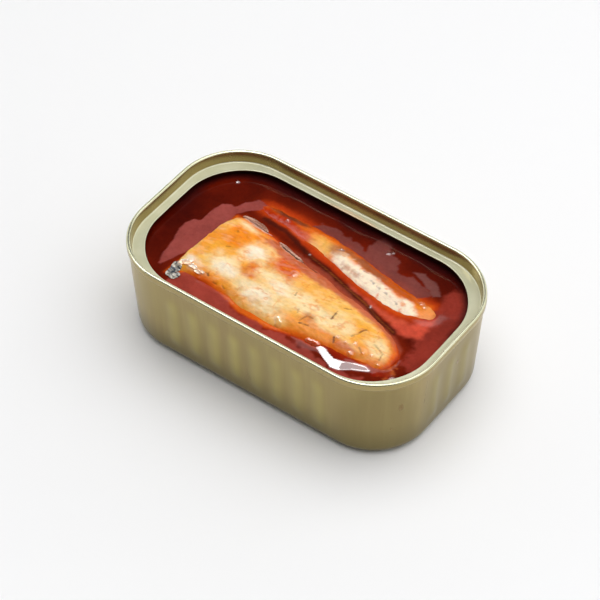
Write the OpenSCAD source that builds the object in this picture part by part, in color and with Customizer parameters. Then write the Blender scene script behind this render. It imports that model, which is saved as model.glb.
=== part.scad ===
// Opened sardine tin: a drawn, fluted body, the seamed ring that the torn lid leaves,
// tomato sauce up to its level, and two pieces of sardine lying in it.
// Origin at the middle of the base, +X along the tin, +Y across it, +Z up.

/* [Tin] */
// Length over the seam
tin_length = 105; // [85:1:130]
// Width over the seam
tin_width = 61.4; // [51:0.1:75]
// Height from the table to the top of the seam
tin_height = 33; // [30:0.5:42]
// Corner radius of the seam's outer face
seam_corner_r = 20.7; // [17:0.1:25]
// Thickness of the drawn wall
wall_t = 0.3; // [0.2:0.01:0.4]
// How far the wall lies inside the seam's face, just under the seam
wall_inset_top = 0.5; // [0.4:0.05:0.8]
// How much further in the wall lies at the base
wall_draft = 1.7; // [1:0.1:2.5]
// Radius between wall and base
base_round = 4; // [3:0.1:5]
// Width of the flat ring that the tin stands on
foot_w = 2.6; // [2:0.1:3.2]
// How high the base panel is raised inside that ring
panel_rise = 0.6; // [0.4:0.1:0.9]

/* [Flutes] */
// Distance from one flute to the next
flute_pitch = 7.4; // [6:0.1:9]
// How far a flute stands out of the wall
flute_depth = 0.28; // [0.15:0.01:0.4]
// Width of a flute at the wall
flute_w = 4.6; // [3.5:0.1:5.6]
// Height of the flutes' lower ends
flute_low = 6; // [5:0.5:8]
// Height of the flutes' upper ends
flute_high = 27; // [22:0.5:27]

/* [Lid ring] */
// Height of the seam
seam_h = 2.5; // [2.2:0.1:3]
// Width of the seam's top
seam_w = 1.25; // [1.1:0.05:1.5]
// Depth of the ledge below the top of the seam
ledge_depth = 3.9; // [3.4:0.1:4.6]
// Thickness of the lid's sheet
lid_t = 0.28; // [0.2:0.01:0.35]
// How far inside the seam's face the ledge starts
ledge_inset = 1.6; // [1.5:0.05:2]
// Distance from the seam's face to the opening, at the two ends
ledge_end = 4.9; // [4:0.1:6]
// Distance from the seam's face to the opening, along the sides
ledge_side = 4; // [3.5:0.1:5]
// Corner radius of the opening
opening_r = 18.2; // [14:0.1:20]
// Diameter of the curled edge of the opening
curl_d = 0.9; // [0.7:0.05:1.1]

/* [Contents] */
// Depth of the sauce below the top of the seam
sauce_depth = 6.5; // [5.5:0.1:8]
// Where the crease between the two pieces meets the cut end, from the tin's long axis
crease_head = 10.6; // [8:0.1:12]
// Where the crease meets the tail ends, from the tin's long axis
crease_tail = -4.4; // [-6:0.1:-3]

/* [Front sardine] */
// Clear length of sauce between its cut end and the wall
front_head_gap = 19.4; // [16:0.1:24]
// Clear length of sauce between its tail end and the wall
front_tail_gap = 10.4; // [8:0.1:14]
// Gap between its belly and the near wall
front_side_gap = 5; // [4:0.1:7]
// Thickness from flank to flank at the cut end
front_thick = 17; // [14:0.5:20]
// How far its flank stands out of the sauce
front_rise = 3; // [2:0.1:3.4]
// How far the belly corner of the cut end lies ahead of the back corner
front_slant = 4; // [2:0.1:6]

/* [Back sardine] */
// Clear length of sauce between its head end and the wall
back_head_gap = 21; // [17:0.1:26]
// Clear length of sauce between its tail and the wall
back_tail_gap = 10; // [8:0.1:14]
// Gap between its back and the far wall at the middle
back_side_gap = 7; // [5.5:0.1:9]
// Thickness at its middle
back_thick = 15; // [12:0.5:18]
// How far it stands out of the sauce
back_rise = 1; // [0.6:0.1:1.6]
// Gap between the two pieces at their widest
fish_gap = 0.6; // [0.4:0.1:1.2]

/* [Hidden] */
$fn = 96;

half_l = tin_length / 2;
half_w = tin_width / 2;
wall_top = tin_height - seam_h;
ledge_z = tin_height - ledge_depth;
sauce_z = tin_height - sauce_depth;
wall_slope = wall_draft / (wall_top - base_round);
base_inset = wall_inset_top + wall_draft;
arc_steps = 10;

// Inset of the wall's outer face from the seam's face at a height
function wall_inset(z) = wall_inset_top + wall_slope * (wall_top - z);

// Inside size of the tin at the level of the sauce
inner_inset = wall_inset(sauce_z) + wall_t;
inner_half_l = half_l - inner_inset;
inner_half_w = half_w - inner_inset;

// ---- Sweeps round the rounded rectangle of the seam ----
// The children are drawn with X as the distance outwards from the corner's axis and Y as the height.
module at_corners(half_x, half_y, r) {
    for (i = [0 : 3])
        translate([(i == 0 || i == 3 ? 1 : -1) * (half_x - r), (i < 2 ? 1 : -1) * (half_y - r), 0])
            rotate([0, 0, 90 * i]) children();
}

module sweep_rounded(half_x, half_y, r) {
    at_corners(half_x, half_y, r) rotate_extrude(angle = 90) children();
    for (s = [0, 180]) rotate([0, 0, s]) {
        translate([0, half_y - r, 0]) side_run(half_x - r) children();
        rotate([0, 0, 90]) translate([0, half_x - r, 0]) side_run(half_y - r) children();
    }
}

// A straight run of the section along X, facing +Y
module side_run(half_run) {
    rotate([90, 0, 90]) linear_extrude(2 * half_run, center = true) children();
}

// The outline of a rounded rectangle
module rounded_outline(half_x, half_y, r) {
    square([2 * half_x, 2 * (half_y - r)], center = true);
    square([2 * (half_x - r), 2 * half_y], center = true);
    at_corners(half_x, half_y, r) circle(r);
}

// ---- Body ----
// Outer line of the wall from the foot ring to under the seam, moved in by d
function wall_line(d) = [
    for (i = [0 : arc_steps])
        let (a = 90 * i / arc_steps)
        [seam_corner_r - base_inset - base_round + (base_round - d) * sin(a),
         base_round - (base_round - d) * cos(a)],
    [seam_corner_r - wall_inset_top - d, wall_top]
];

foot_in = seam_corner_r - base_inset - base_round - foot_w;

module wall_section() {
    outer = wall_line(0);
    inner = wall_line(wall_t);
    polygon(concat(
        [[foot_in, 0]], outer,
        [for (i = [len(inner) - 1 : -1 : 0]) inner[i]],
        [[foot_in, wall_t]]
    ));
}

// The flange that the seam sits on
module flange_section() {
    translate([seam_corner_r - wall_inset_top - wall_t, wall_top - wall_t])
        square([wall_inset_top + wall_t, wall_t]);
}

// The step from the foot ring up to the raised panel
module step_section() {
    translate([foot_in - wall_t, 0]) square([wall_t, panel_rise + wall_t]);
}

module base_panel() {
    inset = seam_corner_r - foot_in;
    translate([0, 0, panel_rise]) linear_extrude(wall_t)
        rounded_outline(half_l - inset, half_w - inset, foot_in);
}

// One flute: a shallow rounded rib that leans with the wall and fades out at both ends
module flute() {
    r = (flute_w * flute_w / 4 + flute_depth * flute_depth) / (2 * flute_depth);
    run = flute_high - flute_low;
    lean = atan(wall_slope);
    rotate([-lean, 0, 0]) intersection() {
        translate([0, flute_depth - r, 0]) cylinder(r = r, h = run / cos(lean));
        translate([-flute_w / 2, -wall_t / 2, 0])
            cube([flute_w, wall_t / 2 + flute_depth, run / cos(lean)]);
    }
}

// As many flutes as the straight of a side takes, centred on it
module flute_row(half_run, face) {
    count = max(0, floor((2 * half_run - flute_w) / flute_pitch) + 1);
    if (count > 0) for (i = [0 : count - 1])
        translate([(i - (count - 1) / 2) * flute_pitch, face - wall_inset(flute_low), flute_low])
            flute();
}

module tin_body() {
    color("#a39568") {
        sweep_rounded(half_l, half_w, seam_corner_r) {
            wall_section();
            flange_section();
            step_section();
        }
        base_panel();
        for (s = [0, 180]) rotate([0, 0, s]) {
            flute_row(half_l - seam_corner_r, half_w);
            rotate([0, 0, 90]) flute_row(half_w - seam_corner_r, half_l);
        }
    }
}

// ---- Lid ring ----
opening_half_x = half_l - ledge_end;
opening_half_y = half_w - ledge_side;

// Points of an arc round a centre, from one angle to another
function arc(cx, cy, r, from, to, steps) = [
    for (i = [0 : steps]) let (a = from + (to - from) * i / steps) [cx + r * cos(a), cy + r * sin(a)]
];

module seam_section() {
    top_r = seam_w / 2;
    x0 = seam_corner_r - seam_w;
    polygon(concat(
        [[x0, wall_top], [seam_corner_r, wall_top]],
        arc(x0 + top_r, tin_height - top_r, top_r, 0, 180, 12)
    ));
}

// The chuck wall, from the seam down to the ledge
module chuck_section() {
    x_top = seam_corner_r - seam_w;
    x_low = seam_corner_r - ledge_inset;
    polygon([
        [x_top, tin_height - seam_w],
        [x_top + lid_t, tin_height - seam_w],
        [x_top + lid_t, wall_top],
        [x_low + lid_t, ledge_z - lid_t],
        [x_low - lid_t, ledge_z - lid_t],
        [x_low, ledge_z + lid_t]
    ]);
}

// The plate runs to the middle of the chuck wall's sheet
plate_inset = ledge_inset - lid_t / 2;

module ledge_plate() {
    translate([0, 0, ledge_z - lid_t]) linear_extrude(lid_t) difference() {
        rounded_outline(half_l - plate_inset, half_w - plate_inset, seam_corner_r - plate_inset);
        rounded_outline(opening_half_x, opening_half_y, opening_r);
    }
}

// The curled edge of the opening, hemmed under the ledge
module curl_section() {
    translate([opening_r + curl_d / 2 - lid_t / 2, ledge_z - curl_d / 2 + lid_t / 4])
        circle(d = curl_d, $fn = 12);
}

module lid_ring() {
    color("#d3cfae") {
        sweep_rounded(half_l, half_w, seam_corner_r) {
            seam_section();
            chuck_section();
        }
        ledge_plate();
        sweep_rounded(opening_half_x, opening_half_y, opening_r) curl_section();
    }
}

// ---- Sardines ----
// A piece is a loft of superellipse rings along the tin. Each ring has its own two sides,
// top and underside, so the back, the belly and the tail follow their own lines.
ring_points = 20;
ring_count = 24;
ring_power = 2.7;
crease_slope = (crease_tail - crease_head)
    / (2 * inner_half_l - front_head_gap - front_tail_gap);

// The crease's distance from the long axis at x
function crease(x) = crease_head + crease_slope * (x + inner_half_l - front_head_gap);

function signed_pow(v, p) = sign(v) * pow(abs(v), p);

// How full a ring is near the two ends: a blunt cut end and a round tail end
function fullness(t, length, blunt, round_end) =
    let (a = min(1, t / blunt), b = min(1, (length - t) / round_end))
    min(0.86 + 0.14 * sin(90 * a), sqrt(max(0.02, 1 - pow(1 - b, 2))));

// Ring of points round a section: far and near sides, top and underside
function ring(x, near, far, low, high, full, slant, twist) =
    let (cy = (near + far) / 2, cz = (low + high) / 2, ry = (far - near) / 2 * full,
         rz = (high - low) / 2 * full)
    [for (i = [0 : ring_points - 1])
        let (a = 360 * i / ring_points,
             y = ry * signed_pow(cos(a), 2 / ring_power),
             z = rz * signed_pow(sin(a), 2 / ring_power))
        [x - slant * (0.5 - y / (far - near)), cy + y, cz + z + twist * y]];

module loft(rings) {
    n = len(rings);
    m = len(rings[0]);
    function middle(r) = [for (k = [0 : 2]) let (s = [for (p = r) p[k]]) total(s, m - 1) / m];
    function total(s, i) = i < 0 ? 0 : s[i] + total(s, i - 1);
    points = concat([for (r = rings) each r], [middle(rings[0]), middle(rings[n - 1])]);
    faces = concat(
        [for (j = [0 : n - 2], i = [0 : m - 1])
            each [[j * m + i, (j + 1) * m + i, j * m + (i + 1) % m],
                  [j * m + (i + 1) % m, (j + 1) * m + i, (j + 1) * m + (i + 1) % m]]],
        [for (i = [0 : m - 1]) [n * m, i, (i + 1) % m]],
        [for (i = [0 : m - 1]) [n * m + 1, (n - 1) * m + (i + 1) % m, (n - 1) * m + i]]
    );
    polyhedron(points, faces);
}

// Ring places, closer together at the two ends
function station(j) = 0.5 - 0.5 * cos(180 * j / (ring_count - 1));

front_start = -inner_half_l + front_head_gap;
front_length = 2 * inner_half_l - front_head_gap - front_tail_gap;

module fish_front() {
    top = sauce_z + front_rise;
    near = -inner_half_w + front_side_gap;
    color("#f0b070") loft([
        for (j = [0 : ring_count - 1])
            let (u = station(j), t = u * front_length, x = front_start + t,
                 swell = sin(180 * min(1, u * 1.15)))
            ring(x, near + 1.5 * u * u, crease(x), top - front_thick * (1 - 0.35 * u * u),
                 top - 0.4 - 1.4 * u * u + 0.4 * swell, fullness(t, front_length, 2.5, 9),
                 front_slant * (1 - u), 0.02)
    ]);
}

back_start = -inner_half_l + back_head_gap;
back_length = 2 * inner_half_l - back_head_gap - back_tail_gap;

module fish_back() {
    top = sauce_z + back_rise;
    far = inner_half_w - back_side_gap;
    color("#e8a878") loft([
        for (j = [0 : ring_count - 1])
            let (u = station(j), t = u * back_length, x = back_start + t)
            ring(x, crease(x) + fish_gap, far - 1.2 * abs(2 * u - 1) - 2 * u,
                 top - back_thick * (1 - 0.2 * u), top, fullness(t, back_length, 9, 9), 0, 0)
    ]);
}

// ---- Sauce ----
// The filled inside of the body up to the level, as the section from each corner's axis outwards
module sauce_section() {
    inner = wall_line(wall_t);
    level = [seam_corner_r - inner_inset, sauce_z];
    polygon(concat(
        [[0, panel_rise + wall_t], [foot_in, panel_rise + wall_t], [foot_in, wall_t]],
        [for (i = [0 : len(inner) - 2]) inner[i]],
        [level, [0, sauce_z]]
    ));
}

module sauce() {
    color("#9c1c06") difference() {
        union() {
            sweep_rounded(half_l, half_w, seam_corner_r) sauce_section();
            translate([0, 0, (panel_rise + wall_t + sauce_z) / 2])
                cube([2 * (half_l - seam_corner_r), 2 * (half_w - seam_corner_r),
                      sauce_z - panel_rise - wall_t], center = true);
        }
        fish_front();
        fish_back();
    }
}

tin_body();
lid_ring();
sauce();
fish_front();
fish_back();
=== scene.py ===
import math

import bmesh
import bpy
import numpy as np
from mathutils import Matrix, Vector
from mathutils.bvhtree import BVHTree


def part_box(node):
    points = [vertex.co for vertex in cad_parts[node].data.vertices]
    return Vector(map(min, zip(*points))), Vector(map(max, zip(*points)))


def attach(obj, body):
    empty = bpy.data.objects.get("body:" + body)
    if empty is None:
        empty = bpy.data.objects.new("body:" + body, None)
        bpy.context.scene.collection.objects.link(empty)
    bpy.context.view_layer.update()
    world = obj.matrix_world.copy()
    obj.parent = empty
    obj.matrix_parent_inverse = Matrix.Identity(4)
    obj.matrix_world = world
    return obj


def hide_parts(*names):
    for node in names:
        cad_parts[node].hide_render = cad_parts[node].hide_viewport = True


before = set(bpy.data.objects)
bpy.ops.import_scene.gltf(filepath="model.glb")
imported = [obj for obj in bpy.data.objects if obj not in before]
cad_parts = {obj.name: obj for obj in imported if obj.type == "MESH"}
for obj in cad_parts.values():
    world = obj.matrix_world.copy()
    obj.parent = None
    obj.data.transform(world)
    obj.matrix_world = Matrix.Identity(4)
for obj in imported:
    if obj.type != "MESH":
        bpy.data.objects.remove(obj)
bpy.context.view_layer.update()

MM = 0.001

# ---- Sizes from the frame, in metres ----
ring_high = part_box("lid_ring")[1]
body_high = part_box("tin_body")[1]
sauce_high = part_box("sauce")[1]

HALF_L = ring_high.x
HALF_W = ring_high.y
RIM_Z = ring_high.z
WALL_TOP = body_high.z
SAUCE_Z = sauce_high.z
INNER_X = sauce_high.x
INNER_Y = sauce_high.y

# ---- Sizes of the tin's own features ----
SEAM_R = 20.7 * MM
SEAM_W = 1.25 * MM
SHEET = 0.3 * MM
WALL_INSET = 0.5 * MM
BASE_INSET = 2.2 * MM
BASE_ROUND = 4 * MM
FOOT_W = 2.6 * MM
PANEL_RISE = 0.6 * MM
LEDGE_Z = RIM_Z - 3.9 * MM
LEDGE_INSET = 1.6 * MM
LEDGE_END = 4.9 * MM
LEDGE_SIDE = 4 * MM
OPENING_R = 18.6 * MM
OPENING_BOW = 0.5 * MM
CURL_W = 0.9 * MM
FLUTE_PITCH = 7.4 * MM
FLUTE_DEPTH = 0.3 * MM
FLUTE_LOW = 5 * MM
FLUTE_HIGH = 27.5 * MM

TOUCHING = 1e-6
CORNER_STEPS = 26
LONG_CUTS = 71
SHORT_CUTS = 23


# ---- Modelling helpers ----
def start_clean():
    """Leaves edit mode and lets go of everything."""
    if bpy.context.object and bpy.context.object.mode != "OBJECT":
        bpy.ops.object.mode_set(mode="OBJECT")
    bpy.ops.object.select_all(action="DESELECT")


def select_only(*pieces):
    """Selects just these pieces and works on the first."""
    start_clean()
    for piece in pieces:
        piece.select_set(True)
    bpy.context.view_layer.objects.active = pieces[0]


def pick(kind, test):
    """In edit mode, selects just the vertices, edges or faces that pass the test."""
    mesh = bpy.context.object.data
    bpy.ops.mesh.select_mode(type=kind)
    bpy.ops.mesh.select_all(action="DESELECT")
    bm = bmesh.from_edit_mesh(mesh)
    parts = {"VERT": bm.verts, "EDGE": bm.edges, "FACE": bm.faces}[kind]
    for part in parts:
        if test(part):
            part.select_set(True)
    bm.select_flush_mode()
    bmesh.update_edit_mesh(mesh)


def apply_modifier(piece, kind, **settings):
    """Adds a modifier, sets it and applies it."""
    select_only(piece)
    mod = piece.modifiers.new(kind.lower(), kind)
    for key, value in settings.items():
        setattr(mod, key, value)
    bpy.ops.object.modifier_apply(modifier=mod.name)


def outline_plate(name, half_x, half_y, radius, z):
    """A flat plate with round corners, facing up, left in edit mode with its face selected."""
    start_clean()
    bpy.ops.mesh.primitive_plane_add(size=2, location=(0, 0, z))
    plate = bpy.context.object
    plate.name = name
    plate.scale = (half_x, half_y, 1)
    bpy.ops.object.transform_apply(location=True, rotation=False, scale=True)
    bpy.ops.object.mode_set(mode="EDIT")
    bpy.ops.mesh.select_all(action="SELECT")
    bpy.ops.mesh.bevel(offset=radius, segments=CORNER_STEPS, affect="VERTICES")
    pick("EDGE", lambda e: all(abs(abs(v.co.y) - half_y) < TOUCHING for v in e.verts))
    bpy.ops.mesh.subdivide(number_cuts=LONG_CUTS)
    pick("EDGE", lambda e: all(abs(abs(v.co.x) - half_x) < TOUCHING for v in e.verts))
    bpy.ops.mesh.subdivide(number_cuts=SHORT_CUTS)
    pick("FACE", lambda f: True)
    return plate


def inset_along(points):
    """Insets the selected face through a section's points, each an offset inwards and a height."""
    for (o0, z0), (o1, z1) in zip(points, points[1:]):
        bpy.ops.mesh.inset(thickness=o1 - o0, depth=z1 - z0, use_even_offset=True)


def line_points(start, end, steps):
    """Points along a line in a section, without its start."""
    return [tuple(a + (b - a) * i / steps for a, b in zip(start, end)) for i in range(1, steps + 1)]


def ease(value, low, high):
    """Rises smoothly from 0 at low to 1 at high."""
    t = np.clip((value - low) / (high - low), 0, 1)
    return t * t * (3 - 2 * t)


def get_points(piece):
    """The piece's points in metres, one to a row."""
    co = np.empty(len(piece.data.vertices) * 3)
    piece.data.vertices.foreach_get("co", co)
    return co.reshape(-1, 3)


def set_points(piece, points):
    piece.data.vertices.foreach_set("co", points.ravel())
    piece.data.update()


def finish_piece(piece, body, material, angle=None):
    """Shades the piece, gives it its finish and hangs it on its body."""
    select_only(piece)
    if angle is None:
        bpy.ops.object.shade_smooth()
    else:
        bpy.ops.object.shade_smooth_by_angle(angle=math.radians(angle))
    piece.data.materials.clear()
    piece.data.materials.append(material)
    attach(piece, body)
    start_clean()
    return piece


# ---- Painting helpers: masks in plan, all in millimetres ----
GRAIN_CELLS = 256


def grain(x, y, size, seed):
    """Smooth seeded noise from 0 to 1, which repeats after GRAIN_CELLS cells."""
    grid = np.random.default_rng(seed).random((GRAIN_CELLS + 1, GRAIN_CELLS + 1))
    u, v = x / size + GRAIN_CELLS / 2 + 0.3, y / size + GRAIN_CELLS / 2 + 0.7
    i, j = np.floor(u).astype(int), np.floor(v).astype(int)
    fu, fv = ease(u - i, 0, 1), ease(v - j, 0, 1)
    i, j = i % GRAIN_CELLS, j % GRAIN_CELLS
    low = grid[i, j] * (1 - fu) + grid[i + 1, j] * fu
    high = grid[i, j + 1] * (1 - fu) + grid[i + 1, j + 1] * fu
    return low * (1 - fv) + high * fv


def mottle(x, y, size, seed, layers=4, keep=0.55):
    """Layers of noise, each half the size of the one before, from 0 to 1."""
    total, weight, weights = 0, 1, 0
    for k in range(layers):
        total = total + weight * grain(x, y, size / 2 ** k, seed + k)
        weights += weight
        weight *= keep
    return np.clip((total / weights - 0.5) * 1.7 + 0.5, 0, 1)


def reach_inside(x, y, outline):
    """How far a point lies inside a closed outline; negative outside it."""
    near = np.full(np.shape(x), 1e9)
    inside = np.zeros(np.shape(x), bool)
    for (ax, ay), (bx, by) in zip(outline, outline[1:] + outline[:1]):
        dx, dy = bx - ax, by - ay
        t = np.clip(((x - ax) * dx + (y - ay) * dy) / (dx * dx + dy * dy), 0, 1)
        near = np.minimum(near, np.hypot(x - ax - t * dx, y - ay - t * dy))
        if dy:
            inside ^= ((ay > y) != (by > y)) & (x < dx * (y - ay) / dy + ax)
    return np.where(inside, near, -near)


def reach_of_path(x, y, path):
    """Distance to an open path."""
    near = np.full(np.shape(x), 1e9)
    for (ax, ay), (bx, by) in zip(path, path[1:]):
        dx, dy = bx - ax, by - ay
        t = np.clip(((x - ax) * dx + (y - ay) * dy) / (dx * dx + dy * dy), 0, 1)
        near = np.minimum(near, np.hypot(x - ax - t * dx, y - ay - t * dy))
    return near


def area_mask(x, y, outline, soft, ragged=0.0, size=2.0, seed=1):
    """1 inside an outline with a soft, ragged edge."""
    reach = reach_inside(x, y, outline)
    if ragged:
        reach = reach + (mottle(x, y, size, seed) - 0.5) * 2 * ragged
    return ease(reach, -soft, soft)


def line_mask(x, y, path, width, soft, ragged=0.0, size=1.0, seed=1):
    """1 along an open path of a given width, with a soft, ragged edge."""
    reach = reach_of_path(x, y, path)
    if ragged:
        reach = reach + (mottle(x, y, size, seed) - 0.5) * 2 * ragged
    return 1 - ease(reach, width / 2 - soft, width / 2 + soft)


def blob_mask(x, y, blobs, turn, ragged, size, seed):
    """1 inside any of several ovals: centre x, y and half sizes."""
    c, s = math.cos(turn), math.sin(turn)
    total = np.zeros(np.shape(x))
    push = (mottle(x, y, size, seed) - 0.5) * 2 * ragged
    for cx, cy, a, b in blobs:
        u, v = (x - cx) * c + (y - cy) * s, (y - cy) * c - (x - cx) * s
        total = np.maximum(total, ease(1 - np.hypot(u / a, v / b) + push, -0.55, 0.55))
    return total


def strongest(masks):
    """The strongest of several masks at each point."""
    return np.maximum.reduce(list(masks))


def lay(colours, mask, colour):
    """Lays a colour over the painted ones through a mask."""
    mask = np.asarray(mask)[:, None]
    return colours * (1 - mask) + np.asarray(colour) * mask


def ramp(value, stops):
    """Colours along a ramp of (position, colour) stops."""
    places, colours = zip(*stops)
    return np.stack([np.interp(value, places, channel) for channel in zip(*colours)], axis=1)


def store_colours(piece, name, colours):
    rgba = np.ones((len(colours), 4), np.float32)
    rgba[:, :3] = colours
    layer = piece.data.attributes.new(name, "FLOAT_COLOR", "POINT")
    layer.data.foreach_set("color", rgba.ravel())


def store_values(piece, name, values):
    layer = piece.data.attributes.new(name, "FLOAT", "POINT")
    layer.data.foreach_set("value", np.asarray(values, np.float32))


# ---- Material helpers ----
def new_material(name):
    material = bpy.data.materials.new(name)
    material.use_nodes = True
    tree = material.node_tree
    tree.nodes.clear()
    out = tree.nodes.new("ShaderNodeOutputMaterial")
    shader = tree.nodes.new("ShaderNodeBsdfPrincipled")
    tree.links.new(shader.outputs[0], out.inputs[0])
    return material, tree, shader


def feed(tree, socket, value):
    """Puts a number, colour or another node's output into a socket."""
    if isinstance(value, bpy.types.NodeSocket):
        tree.links.new(value, socket)
    elif socket.type == "RGBA" and len(value) == 3:
        socket.default_value = (*value, 1)
    else:
        socket.default_value = value


def set_values(shader, values):
    """Sets constants on the shader's own sockets."""
    for key, value in values.items():
        shader.inputs[key].default_value = value


def add(tree, kind, inputs=None, **settings):
    node = tree.nodes.new("ShaderNode" + kind)
    for key, value in settings.items():
        setattr(node, key, value)
    for key, value in (inputs or {}).items():
        feed(tree, node.inputs[key], value)
    return node


def mix(tree, factor, a, b, blend="MIX"):
    node = add(tree, "Mix", data_type="RGBA", blend_type=blend)
    for index, value in ((0, factor), (6, a), (7, b)):
        feed(tree, node.inputs[index], value)
    return node.outputs[2]


def mix_value(tree, factor, a, b):
    node = add(tree, "Mix", data_type="FLOAT")
    for index, value in ((0, factor), (2, a), (3, b)):
        feed(tree, node.inputs[index], value)
    return node.outputs[0]


def calc(tree, operation, a, b=0.0, clamp=False):
    node = add(tree, "Math", {0: a, 1: b}, operation=operation)
    node.use_clamp = clamp
    return node.outputs[0]


def span(tree, value, low, high, out_low=0.0, out_high=1.0):
    """Maps low..high to out_low..out_high with soft ends."""
    node = add(tree, "MapRange", interpolation_type="SMOOTHSTEP")
    for index, v in enumerate((value, low, high, out_low, out_high)):
        feed(tree, node.inputs[index], v)
    return node.outputs[0]


def object_place(tree):
    """The place in the tin's own frame."""
    return add(tree, "TexCoord").outputs["Object"]


def placed(tree, vector, centre=(0, 0, 0), scale=(1, 1, 1), turn=0.0):
    """The coordinate seen from a centre, turned about the vertical and stretched."""
    moved = add(tree, "VectorMath", {0: vector, 1: centre}, operation="SUBTRACT").outputs[0]
    return add(tree, "Mapping", {"Vector": moved, "Rotation": (0, 0, turn), "Scale": scale}).outputs[0]


def noise(tree, vector, scale, detail=4.0, roughness=0.55):
    return add(tree, "TexNoise", {"Vector": vector, "Scale": scale, "Detail": detail,
                                  "Roughness": roughness}).outputs["Fac"]


def wobbled(tree, vector, scale, amount):
    """The coordinate pushed about by coloured noise, which makes edges ragged."""
    colour = add(tree, "TexNoise", {"Vector": vector, "Scale": scale, "Detail": 3.0}).outputs["Color"]
    centred = add(tree, "VectorMath", {0: colour, 1: (0.5, 0.5, 0.5)}, operation="SUBTRACT").outputs[0]
    push = add(tree, "VectorMath", {0: centred, 1: (amount,) * 3}, operation="MULTIPLY").outputs[0]
    return add(tree, "VectorMath", {0: vector, 1: push}, operation="ADD").outputs[0]


def stain(tree, vector, centre, half_size):
    """1 inside a small oval on a wall, in all three directions."""
    moved = add(tree, "VectorMath", {0: vector, 1: centre}, operation="SUBTRACT").outputs[0]
    local = add(tree, "VectorMath", {0: moved, 1: half_size}, operation="DIVIDE").outputs[0]
    reach = add(tree, "VectorMath", {0: local}, operation="LENGTH").outputs["Value"]
    return span(tree, reach, 1.25, 0.7)


def any_of(tree, masks):
    """The strongest of several masks."""
    total = masks[0]
    for mask in masks[1:]:
        total = calc(tree, "MAXIMUM", total, mask)
    return total


def bump(tree, height, distance, strength=1.0, normal=None):
    inputs = {"Height": height, "Distance": distance, "Strength": strength}
    if normal is not None:
        inputs["Normal"] = normal
    return add(tree, "Bump", inputs).outputs[0]


def combine(tree, value):
    """The same number in all three colour channels."""
    return add(tree, "CombineColor", {0: value, 1: value, 2: value}).outputs[0]


# ---- Finishes ----
def gold_lacquer():
    """Gold lacquer on the drawn wall, with dried drops. Its flute crests are painted lighter and the hollows
    between them darker as a painted reflection, it is painted darker towards the base as painted shade, and
    it is darker in patches at one end, painted shade at the near corner.
    """
    material, tree, shader = new_material("gold_lacquer")
    place = object_place(tree)
    crest = add(tree, "Attribute", attribute_name="crest").outputs["Fac"]
    upright = placed(tree, place, scale=(1, 1, 0.05))
    streak = noise(tree, upright, 420, 4.0, 0.55)
    cloud = noise(tree, place, 45, 3.0, 0.5)
    # Painted reflection: flute crests are painted lighter and the hollows between them darker, standing in
    # for the bright floor and the dark room seen in them.
    tone = mix(tree, crest, (0.37, 0.275, 0.115), (0.50, 0.42, 0.145))
    tone = mix(tree, span(tree, streak, 0.4, 0.7, 0.0, 0.5), tone, (0.48, 0.385, 0.16))
    tone = mix(tree, span(tree, cloud, 0.3, 0.7, 0.0, 0.5), tone, (0.38, 0.31, 0.12))
    level = add(tree, "SeparateXYZ", {0: place}).outputs["Z"]
    # Painted shade: darker towards the base, standing in for the floor's contact shadow seen in the metal.
    tone = mix(tree, span(tree, level, 15 * MM, 0, 0.0, 0.75), tone, (0.14, 0.12, 0.055))
    # Darker patches at the near corner and at the right end; at the near corner this is painted shade, the
    # dark room on the camera side painted into the lacquer.
    darkened_end = any_of(tree, [stain(tree, place, (47 * MM, -26 * MM, 12 * MM), (15 * MM, 12 * MM, 22 * MM)),
                           stain(tree, place, (52 * MM, 2 * MM, 14 * MM), (8 * MM, 16 * MM, 22 * MM))])
    tone = mix(tree, calc(tree, "MULTIPLY", darkened_end, 0.48), tone, (0.20, 0.155, 0.055))
    ragged = wobbled(tree, place, 700, 0.8 * MM)
    drops = any_of(tree, [stain(tree, ragged, c, s) for c, s in WALL_DROPS])
    tone = mix(tree, calc(tree, "MULTIPLY", drops, 0.6), tone, (0.22, 0.12, 0.04))
    feed(tree, shader.inputs["Base Color"], tone)
    set_values(shader, {"Metallic": 0.8})
    rough = span(tree, streak, 0.2, 0.8, 0.27, 0.36)
    feed(tree, shader.inputs["Roughness"], mix_value(tree, drops, rough, 0.14))
    relief = calc(tree, "ADD", streak, calc(tree, "MULTIPLY", drops, 1.5))
    feed(tree, shader.inputs["Normal"], bump(tree, relief, 0.02 * MM, 0.3))
    return material


# Dried drops on the wall: centre and half size
WALL_DROPS = [
    ((50.0 * MM, -20.6 * MM, 21.0 * MM), (2.2 * MM, 1.0 * MM, 1.9 * MM)),
    ((47.8 * MM, -22.4 * MM, 12.0 * MM), (1.6 * MM, 0.7 * MM, 0.7 * MM)),
    ((51.5 * MM, 3.5 * MM, 20.5 * MM), (1.5 * MM, 0.5 * MM, 0.9 * MM)),
]


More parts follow.
